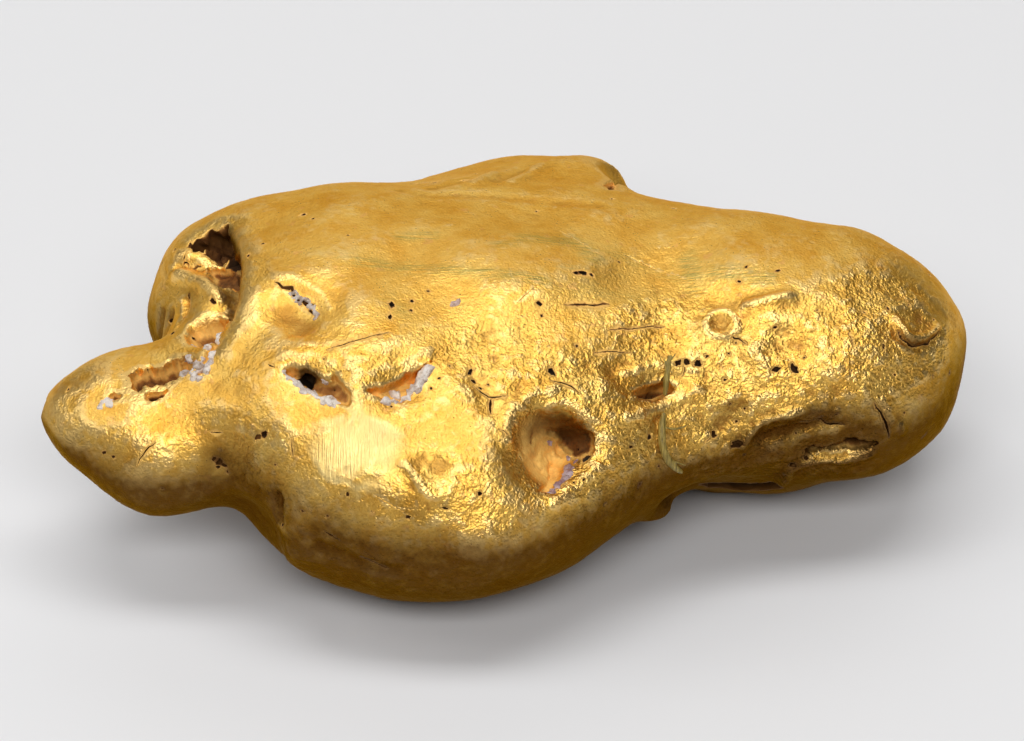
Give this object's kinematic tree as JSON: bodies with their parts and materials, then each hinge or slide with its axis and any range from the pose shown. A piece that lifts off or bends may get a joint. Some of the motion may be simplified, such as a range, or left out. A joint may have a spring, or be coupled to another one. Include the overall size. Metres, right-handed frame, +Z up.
{
  "type": "gold nugget",
  "caption": "Water-worn native gold nugget: a thick flat-topped lump with a stubby finger, a rear fin and small pockets that still hold crumbs of white quartz",
  "frame": {"origin": "on the surface that the nugget rests on, under the middle of its box", "axes": "+X along the nugget towards its broad nose, away from the finger; +Y towards the fin at the back; +Z up"},
  "size_m": [0.0316, 0.02, 0.0104],
  "materials": {
    "gold": "satin native gold, brighter where it is burnished, with brown dirt in its pits and cracks",
    "quartz": "milky, slightly translucent broken quartz with iron staining",
    "fibre": "dry olive plant fibre"
  },
  "bodies": {
    "root": {"nugget": "gold", "quartz_cleft": "quartz", "quartz_finger": "quartz", "quartz_brow": "quartz", "quartz_split": "quartz", "quartz_wedge": "quartz", "quartz_hollow": "quartz", "quartz_dot": "quartz"}
  },
  "joints": []
}
